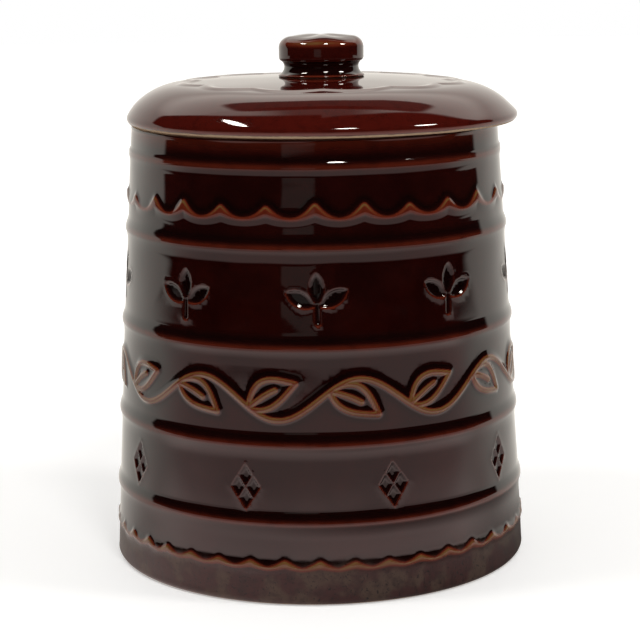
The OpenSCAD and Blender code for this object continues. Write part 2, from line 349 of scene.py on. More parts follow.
class Vine:
    """The vine's stem and the edges and veins of its leaves, all trailed with one width of line."""

    SAMPLES = 620
    CREST_HALF_W = 0.35 * MM
    # How far it falls away to the wall below and above, and how much of that takes fine faces
    FALL_DOWN, FINE_DOWN = 2.2 * MM, 2.0 * MM
    FALL_UP, FINE_UP = 3.7 * MM, 3.0 * MM
    # How far from its middle the glaze pools beside it, darkened by painted shade, and how wide that lies
    POOL_AWAY, POOL_HALF_W = 2.8 * MM, 1.1 * MM
    # The thin glaze reaches to twice this, and is thinnest beyond it
    THIN_HALF_W = 0.8 * MM
    # How the hand that trails it wanders up and down and round the jar, and how its swing differs
    WANDER_UP, WANDER_ROUND, WANDER_SWING = 0.35 * MM, 0.006, 0.05

    def __init__(self):
        leaf_at = VINE_LEAF_FROM / vine_pitch
        unit = np.concatenate([
            vine_stem(np.linspace(0, 1, self.SAMPLES, endpoint=False)),
            *vine_leaf(vine_stem(np.array(leaf_at)), -VINE_LEAF_SLOPE),
            *vine_leaf(vine_stem(np.array(leaf_at + 0.5)), VINE_LEAF_SLOPE),
        ])
        laid_flat = np.concatenate([unit + [vine_pitch * k, 0] for k in range(VINE_WAVES)])
        angle = laid_flat[:, 0] / wall_radius(VINE_Z)
        swing = laid_flat[:, 1] * (1 + wander(angle, self.WANDER_SWING, 1.0))
        z = VINE_Z + swing + wander(angle, self.WANDER_UP, 4.0)
        self.middle = Trail(angle + wander(angle, self.WANDER_ROUND, 2.0), z)

    def marks(self, points):
        """Height of the vine, how thin the glaze lies on it, and the pooled glaze and painted shade beside
        it.
        """
        away, above = self.middle.distance(points)
        upwards = ease(0.35 + 0.65 * above / np.maximum(away, 0.01 * MM))
        reach = self.FALL_DOWN + (self.FALL_UP - self.FALL_DOWN) * upwards
        fall = 1 - np.clip((away - self.CREST_HALF_W) / reach, 0, 1)
        thin = ease(2 - away / self.THIN_HALF_W) * (0.6 + 0.4 * ease(away / self.THIN_HALF_W))
        pool_and_shade = band(away, self.POOL_AWAY, self.POOL_HALF_W)
        return LINE_H * fall ** (2.4 - 0.5 * upwards), thin, pool_and_shade

    def near(self, points, margin):
        away, above = self.middle.distance(points)
        return away < np.where(above > 0, self.FINE_UP, self.FINE_DOWN) + margin


upper_line = WavyLine(low=161.3 * MM, rise=5.3 * MM, count=26, sharpness=2.4, step_h=0.6 * MM,
                      dip=0.25 * MM, fall_up=3.0 * MM, fall_down=4.2 * MM, thinness=0.42,
                      edge_thinness=0.62)
# The lower line's glaze is painted paler than the upper's: partly thin glaze, partly a painted reflection
# of the table on its underside.
lower_line = WavyLine(low=15.6 * MM, rise=2.7 * MM, count=40, sharpness=1.6, step_h=0.75 * MM,
                      dip=0.4 * MM, fall_up=2.6 * MM, fall_down=3.4 * MM, thinness=0.76,
                      edge_thinness=0.82)
trailed_lines = [upper_line, lower_line, Vine()]

# Stamps: sprigs of three leaves in the upper panel, groups of four lozenges in the lower one. The clay
# that each pushes aside stands in a low rim round it.
STAMP_DEPTH = 0.95 * MM
STAMP_EDGE_OUT, STAMP_WALL_W = 0.25 * MM, 0.9 * MM
STAMP_RIM_H, STAMP_RIM_OUT, STAMP_RIM_HALF_W = 0.14 * MM, 0.8 * MM, 0.55 * MM
# The glaze is this thin round a stamp, and thinner by so much more under it.
STAMP_THIN, STAMP_THIN_UNDER = 0.22, 0.35
STAMP_THIN_OUT, STAMP_THIN_HALF_W = 0.6 * MM, 0.45 * MM
# Each stamp is filled with pooled glaze and painted shade, from so far outside its edge, deepening over so
# much.
STAMP_POOL_AND_SHADE_OUT, STAMP_POOL_AND_SHADE_EASE = 0.2 * MM, 1.2 * MM
# Each stamp is set down a little high or low, and tilted by up to so many radians.
STAMP_SHIFT = 0.4 * MM
STAMP_TILT = 0.07
# A stamp's wall lies about so far inside its edge, and takes fine faces so far to both sides of that.
STAMP_WALL_IN, STAMP_FINE_W = 0.2 * MM, 0.8 * MM
SPRIG_Z = (RIDGE_Z[2] + RIDGE_Z[3]) / 2
SPRIGS = 9
SPRIG_LEAF_L = 12.5 * MM
SPRIG_LEAF_W = 5.8 * MM
SPRIG_SPREAD = radians(61)
SPRIG_STALK_L = 7 * MM
SPRIG_STALK_W = 1.6 * MM
SPRIG_UP = (SPRIG_STALK_L - SPRIG_LEAF_L) / 2
LOZENGE_Z = (RIDGE_Z[0] + RIDGE_Z[1]) / 2
LOZENGE_GROUPS = 9
LOZENGE_H = 8.4 * MM
LOZENGE_W = 5.4 * MM
LOZENGE_GAP = 1.3 * MM


def stamp_frame(points, z, count, offset):
    """Places across and up from the middle of the nearest stamp, each set down with a slight tilt."""
    pitch = tau / count
    angle = round_angle(points)
    index = np.round(angle / pitch - offset)
    across = (angle - (index + offset) * pitch) * wall_radius(z)
    up = points[:, 2] - z - STAMP_SHIFT * np.sin(index * 1.7)
    tilt = STAMP_TILT * np.sin(index * 2.4 + count)
    return across * np.cos(tilt) + up * np.sin(tilt), up * np.cos(tilt) - across * np.sin(tilt)


def leaf_edge(x, y, turn):
    """Signed distance from the edge of a sprig's pointed leaf, negative inside."""
    u = x * cos(turn) + y * sin(turn) - SPRIG_STALK_W - SPRIG_LEAF_L / 2
    v = y * cos(turn) - x * sin(turn)
    radius = (SPRIG_LEAF_L ** 2 + SPRIG_LEAF_W ** 2) / (4 * SPRIG_LEAF_W)
    return np.hypot(u, np.abs(v) + radius - SPRIG_LEAF_W / 2) - radius


def sprig_edge(points):
    """Signed distance from the edge of the nearest sprig: its three leaves and its stalk."""
    x, y = stamp_frame(points, SPRIG_Z, SPRIGS, 0)
    y = y - SPRIG_UP
    leaves = [leaf_edge(x, y, radians(90) + i * SPRIG_SPREAD) for i in (-1, 0, 1)]
    on_stalk = np.clip(y, SPRIG_STALK_W / 2 - SPRIG_STALK_L, SPRIG_STALK_W)
    stalk = np.hypot(x, y - on_stalk) - SPRIG_STALK_W / 2
    return np.minimum.reduce([*leaves, stalk])


def lozenge_edge(points):
    """Signed distance from the edge of the nearest lozenge, much the same as across it."""
    x, y = stamp_frame(points, LOZENGE_Z, LOZENGE_GROUPS, 0.5)
    half_w, half_h = LOZENGE_W / 2, LOZENGE_H / 2
    dx, dy = half_w + LOZENGE_GAP / 2, half_h + LOZENGE_GAP / 2
    left_and_right = np.abs(np.abs(x) - dx) / half_w + np.abs(y) / half_h - 1
    top_and_bottom = np.abs(x) / half_w + np.abs(np.abs(y) - dy) / half_h - 1
    nearest = np.minimum(left_and_right, top_and_bottom)
    return nearest * half_w * half_h / sqrt(half_w ** 2 + half_h ** 2)


def on_outside(points):
    """True for points of the wall's outside, between the foot's rounding and the lip's."""
    r = np.hypot(points[:, 0], points[:, 1])
    z = points[:, 2]
    return (z > FOOT_ROUND - 0.1 * MM) & (z < lip_z + 0.1 * MM) & (r > wall_radius(z) - 1 * MM)


def near_ornament(points, margin):
    """True for points on or close to what is trailed or stamped on the wall."""
    outside = on_outside(points)
    some = points[outside]
    close = np.zeros(len(some), bool)
    for line in trailed_lines:
        close |= line.near(some, margin)
    for edge in (sprig_edge(some), lozenge_edge(some)):
        close |= np.abs(edge + STAMP_WALL_IN) < STAMP_FINE_W + margin
    near = np.zeros(len(points), bool)
    near[outside] = close
    return near


# The glaze is this thin just over each ridge's crest, pools with painted shade this much higher up, and
# thins out to the lip.
RIDGE_THIN, RIDGE_THIN_UP, RIDGE_THIN_HALF_W = 0.34, 1.0 * MM, 1.7 * MM
RIDGE_POOL_AND_SHADE, RIDGE_POOL_UP, RIDGE_POOL_HALF_W = 0.9, 4.5 * MM, 1.9 * MM
LIP_THIN, LIP_THIN_DOWN, LIP_THIN_EASE = 0.30, 9.5 * MM, 8 * MM


def ornament(points):
    """Height of the ornament, how thin the glaze lies, and the pooled glaze and painted shade, at points of
    the wall.
    """
    height, thin, pool_and_shade = np.zeros(len(points)), np.zeros(len(points)), np.zeros(len(points))
    for line in trailed_lines:
        line_height, line_thin, line_pool_and_shade = line.marks(points)
        height += line_height
        thin = np.maximum(thin, line_thin)
        pool_and_shade = np.maximum(pool_and_shade, line_pool_and_shade)
    a_little_up = np.array((0, 0, 0.3 * MM))
    for edge_of in (sprig_edge, lozenge_edge):
        edge = edge_of(points)
        under = np.clip((edge - edge_of(points + a_little_up)) / a_little_up[2], 0, 1)
        height -= STAMP_DEPTH * ease((STAMP_EDGE_OUT - edge) / STAMP_WALL_W)
        height += STAMP_RIM_H * band(edge, STAMP_RIM_OUT, STAMP_RIM_HALF_W)
        thin_here = STAMP_THIN + STAMP_THIN_UNDER * under
        thin = np.maximum(thin, thin_here * band(edge, STAMP_THIN_OUT, STAMP_THIN_HALF_W))
        # Pooled glaze with painted shade inside the stamp.
        pool_and_shade = np.maximum(pool_and_shade, ease((STAMP_POOL_AND_SHADE_OUT - edge) / STAMP_POOL_AND_SHADE_EASE))
    z = points[:, 2]
    for crest in RIDGE_Z:
        thin = np.maximum(thin, RIDGE_THIN * band(z, crest + RIDGE_THIN_UP, RIDGE_THIN_HALF_W))
        # Pooled glaze with painted shade above each ridge, for the dark reflection in its fold.
        pool_and_shade = np.maximum(pool_and_shade, RIDGE_POOL_AND_SHADE * band(z, crest + RIDGE_POOL_UP, RIDGE_POOL_HALF_W))
    thin = np.maximum(thin, LIP_THIN * ease((z - seat_z + LIP_THIN_DOWN) / LIP_THIN_EASE))
    return height, thin, pool_and_shade * (1 - thin)


class Graph:
    """Short ways to add and join the nodes of a material, a node group or the world."""

    def __init__(self, tree):
        self.nodes, self.links = tree.nodes, tree.links

    def add(self, kind, **settings):
        node = self.nodes.new(kind)
        for name, value in settings.items():
            setattr(node, name, value)
        return node

    def put(self, socket, value):
        """Gives a socket a number or a colour, or joins another node's socket to it."""
        if isinstance(value, bpy.types.NodeSocket):
            self.links.new(value, socket)
        else:
            socket.default_value = (*value, 1) if isinstance(value, tuple) else value

    def coords(self):
        """The place on the piece, in metres from the foot's centre."""
        return self.add("ShaderNodeTexCoord").outputs["Object"]

    def cloud(self, coords, scale, detail=3.0, roughness=0.55):
        """A noise texture with so many features to the metre."""
        texture = self.add("ShaderNodeTexNoise")
        self.put(texture.inputs["Vector"], coords)
        self.put(texture.inputs["Scale"], scale)
        self.put(texture.inputs["Detail"], detail)
        self.put(texture.inputs["Roughness"], roughness)
        return texture.outputs["Fac"]

    def ramp(self, value, low, high, to_low=0.0, to_high=1.0):
        """Maps a value from low..high to another range, eased at both ends."""
        node = self.add("ShaderNodeMapRange", interpolation_type="SMOOTHSTEP")
        for socket, number in zip(node.inputs, (value, low, high, to_low, to_high)):
            self.put(socket, number)
        return node.outputs["Result"]

    def blend(self, factor, first, second):
        """Mixes two colours, each a socket or three numbers. The Mix node has its colours' sockets at
        6 and 7, and puts the mixed colour out at 2."""
        node = self.add("ShaderNodeMix", data_type="RGBA")
        self.put(node.inputs[0], factor)
        self.put(node.inputs[6], first)
        self.put(node.inputs[7], second)
        return node.outputs[2]

    def calc(self, operation, first, second):
        """A sum, product or other plain operation on two numbers or sockets."""
        node = self.add("ShaderNodeMath", operation=operation)
        self.put(node.inputs[0], first)
        self.put(node.inputs[1], second)
        return node.outputs[0]


def new_material(name):
    """An empty material and the graph of its nodes."""
    material = bpy.data.materials.new(name)
    material.use_nodes = True
    material.node_tree.nodes.clear()
    return material, Graph(material.node_tree)


# The glaze's colours, from where it lies thickest and painted shade is darkest, to where it runs thinnest
# over an edge.
POOLED_AND_SHADED = (0.0026, 0.0007, 0.0006)
DARK = (0.0090, 0.0009, 0.0007)
WARM = (0.0160, 0.0018, 0.0012)
RED = (0.078, 0.0062, 0.0034)
RUST = (0.108, 0.0150, 0.0062)
AMBER = (0.132, 0.068, 0.0212)
PALE_SPECKS = (0.09, 0.045, 0.028)
# Where the glaze is dull it is patched with these two.
BURNT_RED = (0.033, 0.0050, 0.0042)
SCORCHED = (0.050, 0.026, 0.0155)
# The bare clay's darker and paler grains.
CLAY_DARK = (0.34, 0.225, 0.135)
CLAY_PALE = (0.52, 0.37, 0.24)


def brown_glaze():
    """Node group for the brown glaze: black in pools and painted shade, red-brown on the flat, amber where
    it runs thin.

    Thin, Pool and Dull say how thin the glaze is, how pooled and darkened by painted shade, and how dull,
    and Redness how red its body is, each from none to one. Height is for the Height of a Bump node."""
    group = bpy.data.node_groups.new("brown_glaze", "ShaderNodeTree")
    for name, default in (("Thin", 0.0), ("Pool_and_shade", 0.0), ("Dull", 0.0), ("Redness", 0.5)):
        socket = group.interface.new_socket(name, in_out="INPUT", socket_type="NodeSocketFloat")
        socket.default_value = default
    group.interface.new_socket("Color", in_out="OUTPUT", socket_type="NodeSocketColor")
    group.interface.new_socket("Roughness", in_out="OUTPUT", socket_type="NodeSocketFloat")
    group.interface.new_socket("Height", in_out="OUTPUT", socket_type="NodeSocketFloat")
    g = Graph(group)
    given = g.add("NodeGroupInput").outputs
    coords = g.coords()
    clouds = g.cloud(coords, 42, 4)
    patches = g.cloud(coords, 120, 3)
    mottle = g.cloud(coords, 260, 5, 0.65)
    specks = g.cloud(coords, 1400, 2, 0.5)
    dull = given["Dull"]
    pits = g.calc("MULTIPLY", dull, g.ramp(g.cloud(coords, 900, 2, 0.5), 0.60, 0.70))

    body = g.blend(g.ramp(clouds, 0.35, 0.68), DARK, WARM)
    body = g.blend(given["Redness"], body, RED)
    body = g.blend(g.calc("MULTIPLY", g.ramp(mottle, 0.45, 0.7), 0.3), body, DARK)
    scorched = g.blend(g.ramp(g.cloud(coords, 55, 3), 0.43, 0.55), BURNT_RED, SCORCHED)
    body = g.blend(g.calc("MULTIPLY", dull, g.ramp(mottle, 0.30, 0.58, 0.3, 1.0)), body, scorched)
    body = g.blend(pits, body, POOLED_AND_SHADED)
    # Pooled glaze and painted shade turn the body near black.
    body = g.blend(g.calc("MULTIPLY", given["Pool_and_shade"], 0.85), body, POOLED_AND_SHADED)
    thin = g.calc("MULTIPLY", given["Thin"], g.ramp(patches, 0.3, 0.6, 0.82, 1.0))
    body = g.blend(g.ramp(thin, 0.05, 0.55), body, RUST)
    body = g.blend(g.ramp(thin, 0.5, 0.95), body, AMBER)
    pale_specks = g.calc("MULTIPLY", g.ramp(specks, 0.70, 0.80, 0.0, 0.25), g.ramp(thin, 0.1, 0.6))
    body = g.blend(pale_specks, body, PALE_SPECKS)

    rough = g.calc("ADD", g.ramp(mottle, 0.3, 0.75, 0.03, 0.06), g.calc("MULTIPLY", dull, 0.42))
    grainy = g.calc("SUBTRACT", mottle, g.calc("MULTIPLY", pits, 0.6))
    peel = g.calc("MULTIPLY", mottle, 0.02)
    height = g.calc("ADD", peel, g.calc("MULTIPLY", dull, g.calc("MULTIPLY", grainy, 0.30)))
    result = g.add("NodeGroupOutput").inputs
    g.put(result["Color"], body)
    g.put(result["Roughness"], rough)
    g.put(result["Height"], height)
    return group


glaze_group = brown_glaze()


def painted(name):
    """A function that makes the mask which was painted on the piece under this name."""
    return lambda g: g.add("ShaderNodeAttribute", attribute_name=name).outputs["Fac"]


def height_in_mm(g, waviness=0.0, scale=100):
    """The height of a point of the piece above the foot in millimetres, made wavy by up to waviness."""
    coords = g.coords()
    split = g.add("ShaderNodeSeparateXYZ")
    g.put(split.inputs[0], coords)
    height = g.calc("MULTIPLY", split.outputs["Z"], 1000)
    return g.calc("SUBTRACT", height, g.calc("MULTIPLY", g.cloud(coords, scale), waviness))


def glazed(name, redness, dull, bare):
    """A glazed material with bare clay in places.

    redness and dull are each a number or, like bare, a function that makes a mask in the material."""
    material, g = new_material(name)
    glaze = g.add("ShaderNodeGroup", node_tree=glaze_group)
    masks = {"Thin": painted("thin"), "Pool_and_shade": painted("pool_and_shade"), "Redness": redness, "Dull": dull}
    for socket, mask in masks.items():
        g.put(glaze.inputs[socket], mask(g) if callable(mask) else mask)
    grain = g.cloud(g.coords(), 900, 4, 0.7)
    clay = g.blend(grain, CLAY_DARK, CLAY_PALE)
    is_bare = bare(g)
    shader = g.add("ShaderNodeBsdfPrincipled")
    g.put(shader.inputs["Base Color"], g.blend(is_bare, glaze.outputs["Color"], clay))
    g.put(shader.inputs["Roughness"], g.calc("MAXIMUM", glaze.outputs["Roughness"], is_bare))
    relief = g.add("ShaderNodeBump")
    g.put(relief.inputs["Strength"], 0.6)
    g.put(relief.inputs["Distance"], 0.4 * MM)
    grit = g.calc("MULTIPLY", g.calc("MULTIPLY", is_bare, grain), 0.5)
    g.put(relief.inputs["Height"], g.calc("ADD", glaze.outputs["Height"], grit))
    g.put(shader.inputs["Normal"], relief.outputs["Normal"])
    g.put(g.add("ShaderNodeOutputMaterial").inputs["Surface"], shader.outputs["BSDF"])
    return material


def jar_redness(g):
    """The glaze runs a little thinner and redder up the neck."""
    return g.ramp(height_in_mm(g, 6), 174, 188, 0.0, 0.12)


def jar_dull(g):
    """The glaze is dull and mottled under the lower wavy line, next to the kiln's shelf."""
    return g.ramp(height_in_mm(g, 16, 40), 13, 3, 0.0, 1.0)


def jar_bare(g):
    """The foot ring and the top of the lip, where the lid rests, are wiped clean of glaze."""
    lip_top = seat_z / MM - 0.45
    foot = g.ramp(height_in_mm(g, 0.7, 120), 0.45, 0.15, 0.0, 1.0)
    return g.calc("MAXIMUM", foot, g.ramp(height_in_mm(g, 0.3, 120), lip_top - 0.3, lip_top))


REFINE_MARGINS = (1.6 * MM, 0.4 * MM)
LUMPS = 0.13 * MM
SMALL_LUMPS = 0.02 * MM
jar_glaze = glazed("jar_glaze", jar_redness, jar_dull, jar_bare)
bm = lathe(jar_outline())
refine(bm, near_ornament, REFINE_MARGINS)
jar = finish_piece(bm, "jar_body", jar_glaze, "jar", "jar")
points = mesh_points(jar.data)
outside = on_outside(points)
thin, pool_and_shade = np.zeros(len(points)), np.zeros(len(points))
wall = points[outside]
height, thin[outside], pool_and_shade[outside] = ornament(wall)
lumps = uneven(wall, 17 * MM, LUMPS) + uneven(wall, 41 * MM, LUMPS) + uneven(wall, 8 * MM, SMALL_LUMPS)
lumps -= 1.4 * LUMPS
radius = wall_radius(wall[:, 2]) + ridge_lift(wall[:, 2]) + height + lumps
# Nothing on the wall stands outside the jar's box.
radius = np.minimum(radius, jar_high[0] - 0.01 * MM)
angle = round_angle(wall)
points[outside] = np.stack([radius * np.sin(angle), -radius * np.cos(angle), wall[:, 2]], 1)
jar.data.vertices.foreach_set("co", points.ravel())
paint(jar.data, "thin", thin)
paint(jar.data, "pool_and_shade", pool_and_shade)
jar.data.update()

# ---- Lid ----
# The lid is a separate piece of the same clay: a low crowned plate with a rounded rim that rests on the
# jar's lip, a collar under it that drops into the mouth, and a soft wavy ring raised round its top.
lid_low, lid_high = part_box("lid")
knob_low, knob_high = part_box("knob")
lid_x = (lid_low[0] + lid_high[0]) / 2
rim_r = (lid_high[1] - lid_low[1]) / 2
pad_z = knob_low[2]
collar_z = lid_low[2]
RIM_ROUND = 2.8 * MM
CROWN_R = 750 * MM
SHOULDER_R = 31 * MM
LID_T = 6 * MM
LID_FILLET = 8 * MM
COLLAR_R = 71.8 * MM
COLLAR_W = 5 * MM
COLLAR_ROUND = 1.4 * MM
SEAT_MIDDLE_R = 77 * MM
KNOB_FOOT_R = 19 * MM
# The wavy ring: its middle radius, how far it swings in and out, how many times, and its section.
RING_R = 59 * MM
RING_SWING = 2.4 * MM
RING_WAVES = 12
RING_HALF_W = 4.2 * MM
RING_H = 0.6 * MM
RING_MARGIN = 1.5 * MM
# The shoulder stands a little higher on the left than on the right, outside the level part round the knob.
LEAN = 0.015
LEVEL_HALF_W = 25 * MM
LID_LUMPS = 0.12 * MM


def heading(start, stop):
    """Direction from one point of an outline to another, in degrees."""
    return atan2(stop[1] - start[1], stop[0] - start[0]) * 360 / tau


def tangent_centre(a, ra, b, rb):
    """The point ra from a and rb from b, on the left of the way from a to b."""
    a, b = Vector(a), Vector(b)
    way = b - a
    x = (way.length_squared + ra * ra - rb * rb) / (2 * way.length)
    u = way.normalized()
    return a + u * x + Vector((-u.y, u.x)) * sqrt(ra * ra - x * x)


def lid_outline():
    """Half of the lid's section: crown, shoulder, rim, seat, collar, and the hollow inside it."""
    crown_c = (0, pad_z - sqrt(CROWN_R ** 2 - KNOB_FOOT_R ** 2))
    rim_c = (rim_r - RIM_ROUND, seat_z + RIM_ROUND)
    shoulder_c = tangent_centre(crown_c, CROWN_R - SHOULDER_R, rim_c, SHOULDER_R - RIM_ROUND)
    under_r = CROWN_R - LID_T
    collar_in_r = COLLAR_R - COLLAR_W
    fillet_r = collar_in_r - LID_FILLET
    fillet_c = (fillet_r, crown_c[1] + sqrt((under_r - LID_FILLET) ** 2 - fillet_r ** 2))
    crown_a, rim_a = heading(crown_c, shoulder_c), heading(shoulder_c, rim_c)
    collar_low = collar_z + COLLAR_ROUND
    return [
        (0, pad_z),
        (KNOB_FOOT_R * 0.5, pad_z),
        *arc(crown_c, CROWN_R, heading(crown_c, (KNOB_FOOT_R, pad_z)), crown_a, 24),
        *arc(shoulder_c, SHOULDER_R, crown_a, rim_a, 20)[1:],
        *arc(rim_c, RIM_ROUND, rim_a, -90, 14)[1:],
        (SEAT_MIDDLE_R, seat_z),
        (COLLAR_R, seat_z),
        *arc((COLLAR_R - COLLAR_ROUND, collar_low), COLLAR_ROUND, 0, -90, 5),
        *arc((collar_in_r + COLLAR_ROUND, collar_low), COLLAR_ROUND, -90, -180, 5),
        *arc(fillet_c, LID_FILLET, 0, heading(crown_c, fillet_c), 8),
        *arc(crown_c, under_r, heading(crown_c, fillet_c), 90, 6)[1:],
    ]


def ring_distance(points):
    """Distance from the wavy ring on the lid's top, much the same as across it."""
    angle = round_angle(points, lid_x)
    swing = np.abs(np.sin(angle * RING_WAVES / 2)) * 2 - 1
    path = RING_R + RING_SWING * swing + wander(angle, 0.8 * MM, 3.0)
    return np.abs(np.hypot(points[:, 0] - lid_x, points[:, 1]) - path)


def near_ring(points, margin):
    """True for points on top of the lid, on or close to the wavy ring."""
    return (ring_distance(points) < RING_HALF_W + margin) & (points[:, 2] > seat_z + 12 * MM)


def lid_bare(g):
    """The seat and the rim's lower edge are left bare, so that the lid doesn't stick in the kiln."""
    line = seat_z / MM + 0.35
    return g.ramp(height_in_mm(g, 1.1, 90), line + 0.25, line - 0.1, 0.0, 1.0)


# The lid's glaze is set redder than the jar's: partly its own colour, partly painted light, for the lamps'
# light on its top.
lid_glaze = glazed("lid_glaze", 0.62, 0.0, lid_bare)
bm = lathe(lid_outline(), lid_x)
refine(bm, near_ring, (RING_MARGIN,))
lid = finish_piece(bm, "lid_plate", lid_glaze, "lid", "lid")
points = mesh_points(lid.data)
on_ring = near_ring(points, RING_MARGIN)
ring_share = np.cos(np.clip(ring_distance(points) / RING_HALF_W, 0, 1) * pi / 2) ** 2
points[on_ring, 2] += RING_H * ring_share[on_ring]
from_axis = points[:, 0] - lid_x
leftwards = -np.sign(from_axis) * np.maximum(np.abs(from_axis) - LEVEL_HALF_W, 0)
points[:, 2] += LEAN * leftwards * ease((points[:, 2] - seat_z - 2 * MM) / (7 * MM))
above_seat = points[:, 2] > seat_z + 2 * MM
points[above_seat, 2] += uneven(points[above_seat], 23 * MM, LID_LUMPS) - LID_LUMPS
lid.data.vertices.foreach_set("co", points.ravel())
# The glaze runs thin round the rim's lower edge, and a little along the ring.
rim_edge = band(points[:, 2], seat_z + 1.9 * MM, 0.8 * MM)
rim_edge[np.hypot(from_axis, points[:, 1]) < 80 * MM] = 0
paint(lid.data, "thin", np.maximum(0.45 * rim_edge, np.where(on_ring, 0.25 * ring_share, 0)))
paint(lid.data, "pool_and_shade", np.zeros(len(points)))
lid.data.update()

# ---- Knob ----
# The knob is turned by itself as a squat bun on a waisted stem, and luted to the lid's pad with slip.
# Its glaze runs thin over the crown, where it turns amber, and along the edge of its foot.
KNOB_R = 18.8 * MM
BUN_ROUND = 5.2 * MM
BUN_UNDER_ROUND = 1.8 * MM
KNOB_CROWN_R = 120 * MM
STEM_R = 16.5 * MM
WAIST_H = 4.5 * MM
BUN_EDGE_H = 7 * MM
KNOB_FOOT_H = 0.9 * MM
KNOB_STEPS = 144
# The crown isn't quite round: it has shallow dimples, as shaping by hand leaves them.
DIMPLES = 5
DIMPLE_DEPTH = 0.28 * MM
CROWN_FROM = 13.5 * MM
# The glaze's amber shoulder, and the height up to which it pools under the bun, with painted shade there
# too.
AMBER_UP, AMBER_HALF_W = 15.2 * MM, 1.6 * MM
POOL_AND_SHADE_TOP, POOL_AND_SHADE_EASE = 8.4 * MM, 2.5 * MM
knob_top = knob_high[2]


def flare(r, z):
    """The stem's waisted outline, from its waist out to radius r at height z."""
    waist_z = pad_z + WAIST_H
    out, up = r - STEM_R, z - waist_z
    flare_r = (out * out + up * up) / (2 * out)
    return arc((STEM_R + flare_r, waist_z), flare_r, 180, 180 - atan2(up, flare_r - out) * 360 / tau, 8)


def knob_outline():
    """Half of the knob's section: foot, waisted stem, the bun's under edge, and its crown."""
    crown_c = (0, knob_top - KNOB_CROWN_R)
    bun_r = KNOB_R - BUN_ROUND
    bun_c = (bun_r, crown_c[1] + sqrt((KNOB_CROWN_R - BUN_ROUND) ** 2 - bun_r ** 2))
    top_a = heading(crown_c, bun_c)
    under_r = KNOB_R - BUN_UNDER_ROUND
    under_z = pad_z + BUN_EDGE_H + BUN_UNDER_ROUND * sin(radians(60))
    return [
        (0, pad_z),
        (KNOB_FOOT_R - 0.3 * MM, pad_z),
        (KNOB_FOOT_R, pad_z + 0.3 * MM),
        *flare(KNOB_FOOT_R, pad_z + KNOB_FOOT_H)[::-1],
        *flare(under_r + BUN_UNDER_ROUND * cos(radians(60)) - 0.1 * MM, pad_z + BUN_EDGE_H)[1:],
        *arc((under_r, under_z), BUN_UNDER_ROUND, -60, 0, 6),
        *arc(bun_c, BUN_ROUND, 0, top_a, 14),
        *arc(crown_c, KNOB_CROWN_R, top_a, 90, 8)[1:],
    ]


def knob_bare(g):
    """Bare clay under the knob's foot, where it is luted to the lid."""
    return g.ramp(height_in_mm(g), pad_z / MM + 0.12, pad_z / MM, 0.0, 1.0)


knob_glaze = glazed("knob_glaze", 0.35, 0.0, knob_bare)
bm = lathe(knob_outline(), lid_x, KNOB_STEPS)
knob = finish_piece(bm, "knob_bun", knob_glaze, "lid", "knob")
points = mesh_points(knob.data)
angle = round_angle(points, lid_x)
away = np.hypot(points[:, 0] - lid_x, points[:, 1])
above = points[:, 2] - pad_z
crown = ease((above - CROWN_FROM) / (4 * MM))
dimples = np.sin(DIMPLES * angle + 1.2) * ease(away / (9 * MM)) - 1
points[:, 2] += DIMPLE_DEPTH * dimples * crown
knob.data.vertices.foreach_set("co", points.ravel())
foot_edge = 0.5 * band(above, KNOB_FOOT_H, 0.5 * MM)
bun_edge = 0.30 * band(above, BUN_EDGE_H + 0.3 * MM, 0.5 * MM)
shoulder = 0.82 * band(above, AMBER_UP, AMBER_HALF_W) * (0.8 + 0.2 * np.cos(3 * angle + 0.4))
paint(knob.data, "thin", np.maximum.reduce([foot_edge, bun_edge, shoulder]))
# Pooled glaze and painted shade under the bun: the stem near black.
paint(knob.data, "pool_and_shade", 0.95 * ease((POOL_AND_SHADE_TOP - above) / POOL_AND_SHADE_EASE))
knob.data.update()

# ---- Studio ----
# A white table top in a white surround. The gloss sees, painted inside a dome, the dark room in front of
# the table and the pale things in it, and the bright parts of the ceiling; three round lamps light the jar.
TABLE_FRONT = 1.85
TABLE_SIZE = 3.4
TABLE_WHITE = (0.80, 0.79, 0.775)
LIGHTING_LEVEL = 0.5
BRIGHT = (1.0, 0.955, 0.875)
WARM_WHITE = (1.0, 0.76, 0.72)


def seen_by(g, *kinds):
    """One for rays of the given kinds, and none for the rest."""
    path = g.add("ShaderNodeLightPath")
    shown = path.outputs[kinds[0]]
    for kind in kinds[1:]:
        shown = g.calc("MAXIMUM", shown, path.outputs[kind])
    return shown


bm = bmesh.new()
bmesh.ops.create_grid(bm, x_segments=1, y_segments=1, size=TABLE_SIZE)
bmesh.ops.translate(bm, verts=bm.verts, vec=(0, TABLE_SIZE - TABLE_FRONT, -0.05 * MM))
table_mesh = bpy.data.meshes.new("table_top")
bm.to_mesh(table_mesh)
bm.free()
table_material, g = new_material("white_table")
split = g.add("ShaderNodeSeparateXYZ")
g.put(split.inputs[0], g.coords())
reach = g.add("ShaderNodeVectorMath", operation="LENGTH")
g.put(reach.inputs[0], g.coords())
away, depth = reach.outputs["Value"], split.outputs["Y"]
shader = g.add("ShaderNodeBsdfPrincipled")
g.put(shader.inputs["Base Color"], TABLE_WHITE)
g.put(shader.inputs["Roughness"], 0.7)
g.put(shader.inputs["Emission Color"], (1.0, 1.0, 1.0))
whiteness = g.ramp(away, 0.12, 1.2, 0.32, 0.66)
g.put(shader.inputs["Emission Strength"], g.calc("MULTIPLY", whiteness, seen_by(g, "Is Camera Ray")))
